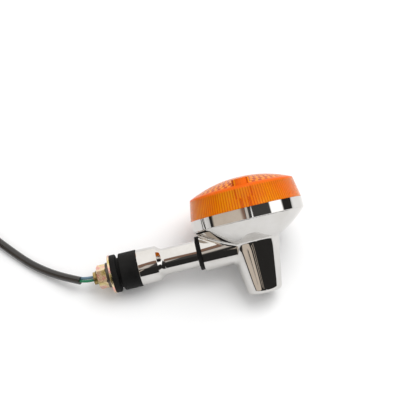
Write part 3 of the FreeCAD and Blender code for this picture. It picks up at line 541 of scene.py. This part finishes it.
def makeScrew(node, body, side):
    seat = wellFloor + screw["seal"]
    top = seat + screw["headHeight"]
    head = softened([(0, seat), (screw["head"], seat, 0.25), (screw["head"], top - 0.2, 0.9),
                     (0, top)], 5)
    bm = spun(head, 64, closed=False)
    piece = finishMesh(bm, node, plainFrame)
    slots = bmesh.new()
    for turn in (0, math.pi / 2):
        place = Matrix.Rotation(turn, 4, "Z") @ Matrix.Translation((0, 0, top))
        bmesh.ops.create_cube(slots, size=1, matrix=place @ Matrix.Diagonal((*screw["slot"], 1)))
    bmesh.ops.create_cone(slots, cap_ends=True, segments=8, radius1=screw["pointFoot"],
                          radius2=screw["pointTop"], depth=screw["pointDepth"],
                          matrix=Matrix.Translation((0, 0, top - 0.1)))
    applyBoolean(piece, finishMesh(slots, "recess", plainFrame), "DIFFERENCE")
    bm = threaded(screw["shank"], 0.0, -screw["tail"], seat, screw["pitch"], 24, 0.2)
    bm.transform(Matrix.Scale(millimetre, 4))
    bm.from_mesh(piece.data)
    bmesh.ops.remove_doubles(bm, verts=bm.verts, dist=0.0000005)
    bm.transform(lampFrame @ Matrix.Translation((0, side * lens["screwCircle"] * millimetre, 0)))
    bm.to_mesh(piece.data)
    bm.free()
    piece.name = node + "_cross"
    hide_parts(node)
    dress(piece, screwSteel, body)
    piece.data.shade_smooth()
    piece.data.set_sharp_from_angle(angle=math.radians(35))


makeScrew("lens_screw_front", "front_screw", -1)
makeScrew("lens_screw_back", "back_screw", 1)
print("lens screws made")


housing = smoothCopy("housing", "chromeHousing", 24)
dress(housing, chrome, "head")

stem = {
    "bore": 3.3, "spigot": 5.0, "spigotEnd": 22.5, "gasketEnd": 38.3, "neck": 8.95, "neckEnd": 62.0,
    "collarStart": 65.6, "collarNear": 11.85, "collar": 12.3, "collarEnd": 78.7, "stud": 5.0,
    "studStart": 69.0, "studEnd": 109.9, "nutEnd": 106.9, "lead": 4.85,
}


def makeStem():
    outline = softened([
        (stem["bore"], stem["spigotEnd"], 0.3), (stem["spigot"], stem["spigotEnd"], 0.4),
        (stem["spigot"], stem["gasketEnd"]), (stem["neck"], stem["gasketEnd"], 0.4),
        (stem["neck"], stem["neckEnd"], 5.0), (stem["collarNear"], stem["collarStart"], 0.9),
        (stem["collar"], stem["collarEnd"], 0.5), (stem["stud"], stem["collarEnd"]),
        (stem["stud"], stem["studStart"]), (stem["bore"], stem["studStart"]),
    ], 8)
    piece = finishMesh(spun(outline, 160), "chromeStem", stemFrame, 30)
    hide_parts("stem_tube")
    dress(piece, chrome, "mount")


def makeStud():
    bm = threaded(stem["stud"], stem["bore"], stem["studStart"], stem["studEnd"], 1.25, 48, 0.75)
    for dot in bm.verts:
        outward = math.hypot(dot.co.x, dot.co.y)
        if dot.co.z > stem["nutEnd"] and outward > stem["lead"]:
            dot.co.x *= stem["lead"] / outward
            dot.co.y *= stem["lead"] / outward
    piece = finishMesh(bm, "threadedStud", stemFrame, 40)
    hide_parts("mount_stud")
    dress(piece, studBrass, "mount")


makeStem()
makeStud()
print("stem made")


# outlines along the stem: distance from its axis, distance along it, radius of the corner
rubbers = {
    "stem_gasket": ("stemGasket", [
        (5.2, 35.4), (11.4, 35.4, 0.5), (11.4, 38.3, 0.5), (5.2, 38.3)]),
    "inner_rubber": ("innerRubber", [
        (6.6, 78.7), (12.5, 78.7, 0.35), (12.5, 90.8, 0.9), (10.0, 90.8, 0.2),
        (10.0, 91.85), (6.6, 91.85)]),
    "outer_rubber": ("outerRubber", [
        (6.6, 91.85), (10.0, 91.85), (10.0, 92.9, 0.2), (12.8, 92.9, 0.8),
        (12.8, 96.7, 0.3), (6.6, 96.7)]),
}
for node, (name, corners) in rubbers.items():
    piece = finishMesh(spun(softened(corners, 6), 128), name, stemFrame, 40)
    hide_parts(node)
    dress(piece, rubber, "mount")

washerCorners = [(5.3, 96.7, 0.15), (13.0, 96.7, 0.45), (13.0, 98.1, 0.25), (5.3, 98.1, 0.15)]
washer = finishMesh(spun(softened(washerCorners, 5), 128), "mountWasher", stemFrame, 40)
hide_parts("mount_washer")
dress(washer, zincYellow, "mount")

lockWasher = smoothCopy("lock_washer", "splitWasher", 30, 0.15)
dress(lockWasher, springSteel, "clamp_washer")
mountNut = smoothCopy("mount_nut", "clampNut", 30, 0.12)
dress(mountNut, zincYellow, "clamp_nut")
print("mount hardware made")


# the fixed parts that keep their shape get their finish
kept = {
    "lens_screw_seals": rubber, "lens_gasket": rubber, "socket_shell": socketSteel,
    "socket_insulator": phenolic, "contact_plunger": bulbBrass, "contact_spring": brightZinc,
    "stem_washer": brightZinc, "stem_nut": brightZinc, "spacer_sleeve": brightZinc,
    "bulb_contact": tungsten, "bulb_filament": tungsten, "socket_green_wire": greenVinyl,
    "socket_blue_wire": blueVinyl, "stem_green_wire": greenVinyl, "stem_blue_wire": blueVinyl,
}
for node, material in kept.items():
    target = frame["nodes"][node]
    if not target.material_slots:
        target.data.materials.append(material)
    target.material_slots[0].link = "OBJECT"
    target.material_slots[0].material = material

dress(smoothCopy("reflector", "reflectorDish", 30), foil, "head")
dress(smoothCopy("bulb_base", "bulbCap", 30, 0.12), bulbBrass, "bulb")
dress(smoothCopy("bulb_glass", "bulbEnvelope", 60), bulbGlass, "bulb")
print("inner parts finished")


# two wires, their black sleeving, its coil and its terminals
cable = {
    "wire": 0.95, "sheath": 2.7, "curveSteps": 10, "roundSteps": 6,
    "coilCentre": (-172.6, 39.0), "coilStart": 37, "coilSweep": 367, "coilFrom": 31.0, "coilTo": 25.4,
    "coilSteps": 28, "coilHeight": 2.7,
}
greenNear = [(-52.9, -7.5, 14.0), (-62.3, -7.5, 12.2), (-71.7, -7.5, 11.4), (-79.8, -6.9, 9.9),
             (-87.6, -3.0, 7.8)]
blueNear = [(-52.9, -5.3, 14.0), (-62.3, -5.3, 12.2), (-71.7, -5.3, 11.6), (-79.8, -4.8, 10.3),
            (-87.2, -1.2, 8.2)]
sheathRoute = [(-82.0, -5.2, 9.4), (-92.5, 1.2, 6.3), (-104.0, 9.5, 3.6), (-115.0, 18.6, 2.7),
               (-126.5, 31.0, 2.7), (-137.5, 44.0, 2.7), (-147.8, 57.7, 2.7)]
# the far ends, round the coil's centre, as distance, degrees and height
greenFar = [(26.4, 30, 2.7), (26.1, 45, 2.4), (22.6, 65, 1.4), (19.0, 88, 1.1), (17.2, 110, 1.6),
            (16.0, 133, 2.6)]
blueFar = [(24.45, 30, 2.7), (24.0, 45, 2.3), (20.0, 65, 1.3), (15.0, 90, 1.1), (11.5, 122, 1.5),
           (9.0, 165, 2.6)]


def aroundCoil(distance, degrees, height):
    turn = math.radians(degrees)
    return (cable["coilCentre"][0] + distance * math.cos(turn),
            cable["coilCentre"][1] + distance * math.sin(turn), height)


def coilTurns():
    # each turn is wound inside the last
    for step in range(1, cable["coilSteps"] + 1):
        share = step / cable["coilSteps"]
        distance = cable["coilFrom"] + (cable["coilTo"] - cable["coilFrom"]) * share
        yield aroundCoil(distance, cable["coilStart"] + cable["coilSweep"] * share, cable["coilHeight"])


def makeCord(name, route, radius, material, nodes):
    data = bpy.data.curves.new(name, "CURVE")
    data.dimensions = "3D"
    data.resolution_u = cable["curveSteps"]
    data.bevel_depth = radius * millimetre
    data.bevel_resolution = cable["roundSteps"]
    data.use_fill_caps = True
    spline = data.splines.new("NURBS")
    spline.points.add(len(route) - 1)
    for point, spot in zip(spline.points, route):
        point.co = (*(Vector(spot) * millimetre), 1)
    spline.order_u = 3
    spline.use_endpoint_u = True
    piece = bpy.data.objects.new(name, data)
    bpy.context.scene.collection.objects.link(piece)
    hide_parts(*nodes)
    dress(piece, material, "mount")
    return piece


greenLead = makeCord("greenLead", greenNear, cable["wire"], greenVinyl, ["green_wire"])
blueLead = makeCord("blueLead", blueNear, cable["wire"], blueVinyl, ["blue_wire"])
sleeving = makeCord("cableSleeving", sheathRoute + list(coilTurns()), cable["sheath"], blackVinyl,
                    ["cable_sheath", "cable_coil"])
greenTail = makeCord("greenTail", [aroundCoil(*spot) for spot in greenFar], cable["wire"], greenVinyl,
                     ["green_tail"])
blueTail = makeCord("blueTail", [aroundCoil(*spot) for spot in blueFar], cable["wire"], blueVinyl,
                    ["blue_tail"])

terminal = {
    "crimp": 1.6, "body": 1.95, "sleeve": 2.6, "sleeveLength": 7.5, "length": 14.0,
    "shoulder": 0.6, "groove": (2.0, 2.6, 3.2, 3.8),
}


def makeTerminal(colour, route, heading):
    flat = Matrix.Rotation(math.radians(heading), 4, "Z") @ Matrix.Rotation(math.pi / 2, 4, "Y")
    place = Matrix.Translation(Vector(aroundCoil(*route[-1])) * millimetre) @ flat
    start = terminal["sleeveLength"]
    crimp, body = terminal["crimp"], terminal["body"]
    nose = [(body * math.cos(turn), terminal["length"] - body + body * math.sin(turn))
            for turn in (math.radians(15 * step) for step in range(7))]
    lip, dip, rise, end = (start + step for step in terminal["groove"])
    outline = [(0, 0), (crimp, 0), (crimp, start), (body, start + terminal["shoulder"]), (body, lip),
               (crimp, dip), (crimp, rise), (body, end), *nose]
    bullet = finishMesh(spun(outline, 48, closed=False), colour + "Bullet", place, 35)
    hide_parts(colour + "_bullet")
    dress(bullet, bulbBrass, "mount")
    wide = terminal["sleeve"]
    corners = softened([(crimp, 0, 0.1), (wide, 0, 0.4), (wide, start, 0.5), (crimp, start, 0.1)], 5)
    sleeve = finishMesh(spun(corners, 48), colour + "Sleeve", place, 40)
    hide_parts(colour + "_sleeve")
    dress(sleeve, clearVinyl, "mount")
    return [bullet, sleeve]


greenEnd = makeTerminal("green", greenFar, 238)
blueEnd = makeTerminal("blue", blueFar, 265)
tie = smoothCopy("coil_tie", "cableTie", 30, 0.2)
dress(tie, blackVinyl, "mount")

print("cable made")


paper = {"size": 2.5, "drop": 0.0001, "tone": 0.93, "rough": 0.8}


def makeFloor():
    bm = bmesh.new()
    bmesh.ops.create_grid(bm, x_segments=2, y_segments=2, size=paper["size"])
    mesh = bpy.data.meshes.new("floor")
    bm.to_mesh(mesh)
    bm.free()
    floor = bpy.data.objects.new("floor", mesh)
    floor.location.z = -paper["drop"]
    bpy.context.scene.collection.objects.link(floor)
    tone = (paper["tone"],) * 3
    mesh.materials.append(newMaterial("palePaper", Base_Color=(*tone, 1), Roughness=paper["rough"]))


# what the polished parts see; the rest of the scene is lit by the ambient tone
studio = {
    "ambient": (1.3, 1.3, 1.3),
    "strength": 0.6,
    "walls": (2.2, 2.16, 2.1),
    "cards": [
        # in degrees: azimuth from the front, elevation, half width, half height, softness; colour
        (0, 18, 103, 30, 4.0, (0.05, 0.048, 0.046)),
        (-57, 31, 27, 27, 3.0, (1.3, 1.13, 0.96)),
        (-51, 28, 9, 6, 1.5, (0.06, 0.057, 0.054)),
        (-39, 9, 3.0, 1.6, 0.8, (1.0, 0.9, 0.78)),
        (-46, 20, 2.5, 1.0, 0.6, (0.9, 0.8, 0.7)),
        (-150, 8, 13, 24, 8.0, (1.5, 0.75, 0.42)),
        (-22, 36, 1.4, 6, 1.0, (1.1, 0.95, 0.8)),
        (-14, 37, 1.0, 6, 0.8, (1.1, 0.95, 0.8)),
        (-12, 68, 36, 12, 4.0, (0.5, 0.3, 0.22)),
        (20, 54, 44, 10, 3.0, (0.12, 0.115, 0.11)),
        (-17, 54, 5, 8, 2.0, (1.3, 1.2, 1.1)),
        (3, 60.5, 2.5, 2.0, 1.0, (2.9, 2.9, 2.9)),
        (7, 2, 2.5, 14, 1.5, (2.2, 2.2, 2.2)),
        (74, 34, 10, 15, 3.0, (2.9, 2.9, 2.9)),
    ],
}


def makeWorld():
    world = bpy.data.worlds.new("studio")
    bpy.context.scene.world = world
    world.use_nodes = True
    tree = world.node_tree
    background = tree.nodes["Background"]
    direction = addNode(tree, "ShaderNodeTexCoord")
    split = addNode(tree, "ShaderNodeSeparateXYZ")
    tree.links.new(direction.outputs["Generated"], split.inputs[0])
    x, y, z = split.outputs
    degree = 180 / math.pi
    front = calc(tree, "MULTIPLY", y, -1.0)
    azimuth = calc(tree, "MULTIPLY", calc(tree, "ARCTAN2", x, front), degree)
    elevation = calc(tree, "MULTIPLY", calc(tree, "ARCSINE", z), degree)
    colour = None
    for aim, height, wide, tall, soft, tint in studio["cards"]:
        masks = []
        for angle, middle, half in ((azimuth, aim, wide), (elevation, height, tall)):
            off = calc(tree, "ABSOLUTE", calc(tree, "SUBTRACT", angle, float(middle)))
            masks.append(remap(tree, off, half - soft / 2, half + soft / 2, 1.0, 0.0, smooth=True))
        mask = calc(tree, "MULTIPLY", *masks)
        colour = mixed(tree, mask, colour if colour is not None else studio["walls"], tint)
    path = addNode(tree, "ShaderNodeLightPath")
    final = mixed(tree, path.outputs["Is Glossy Ray"], studio["ambient"], colour)
    tree.links.new(final, background.inputs["Color"])
    background.inputs["Strength"].default_value = studio["strength"]


def aimed(name, data, place, target):
    # lights and cameras look along their own -Z
    item = bpy.data.objects.new(name, data)
    item.location = place
    item.rotation_euler = (Vector(target) - Vector(place)).to_track_quat("-Z", "Y").to_euler()
    bpy.context.scene.collection.objects.link(item)
    return item


softbox = {"place": (0.35, 0.15, 0.9), "target": (0, 0, 0.02), "size": 0.7, "power": 5.2}


def makeSoftbox():
    data = bpy.data.lights.new("overheadSoftbox", "AREA")
    data.size = softbox["size"]
    data.energy = softbox["power"]
    aimed("overheadSoftbox", data, softbox["place"], softbox["target"]).visible_glossy = False


view = {
    "place": (-0.06488, -0.33784, 0.60252), "target": (0.0105, 0.0492, 0.0),
    "lens": 90, "sensor": 36,
}


def makeCamera():
    data = bpy.data.cameras.new("camera")
    data.lens = view["lens"]
    data.sensor_width = view["sensor"]
    bpy.context.scene.camera = aimed("camera", data, view["place"], view["target"])


makeFloor()
makeWorld()
makeSoftbox()
makeCamera()
bpy.context.scene.view_settings.view_transform = "Standard"
print("studio made")
